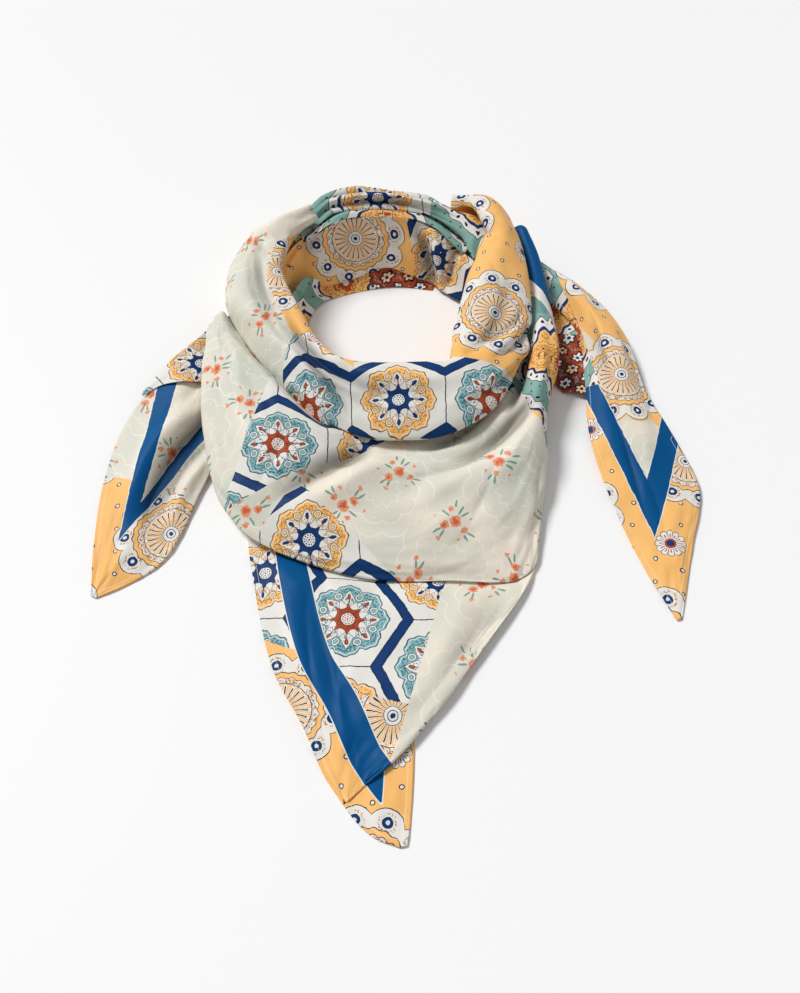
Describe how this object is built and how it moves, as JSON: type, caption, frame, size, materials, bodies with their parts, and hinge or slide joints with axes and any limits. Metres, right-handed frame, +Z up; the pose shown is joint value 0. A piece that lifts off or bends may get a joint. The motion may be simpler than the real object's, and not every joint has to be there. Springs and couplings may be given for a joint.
{
  "type": "triangle scarf",
  "caption": "Printed silk triangle scarf wound into an open neck ring and laid on a surface, its middle corner spread in front and an end corner out at each side.",
  "frame": {"origin": "centre of the scarf's bounding box, on the surface that it lies on", "axes": "+Z up from the surface, -Y towards the middle corner, +X towards the right-hand tail"},
  "size_m": [0.6133, 0.7616, 0.0878],
  "materials": {
    "print_cream": "satin silk, cream and pale sage ground with small coral sprigs",
    "print_white": "satin silk, off-white ground with navy honeycomb lines, rosettes and a blue band",
    "print_ochre": "satin silk, ochre ground with scalloped medallions and small rings",
    "print_mixed": "satin silk, where several fields of the print meet in blue, teal, ochre and white"
  },
  "bodies": {
    "root": {"collar_left": "print_cream", "collar_front": "print_white", "collar_right": "print_ochre", "collar_back": "print_mixed", "drape": "print_cream", "bib": "print_white", "bib_point": "print_ochre", "tail_left_turn": "print_mixed", "tail_left": "print_cream", "tail_right": "print_ochre", "tail_right_back": "print_mixed", "nape_fold": "print_mixed", "nape_inner": "print_ochre", "nape_lower": "print_mixed", "ring_core": "print_cream"}
  },
  "joints": []
}
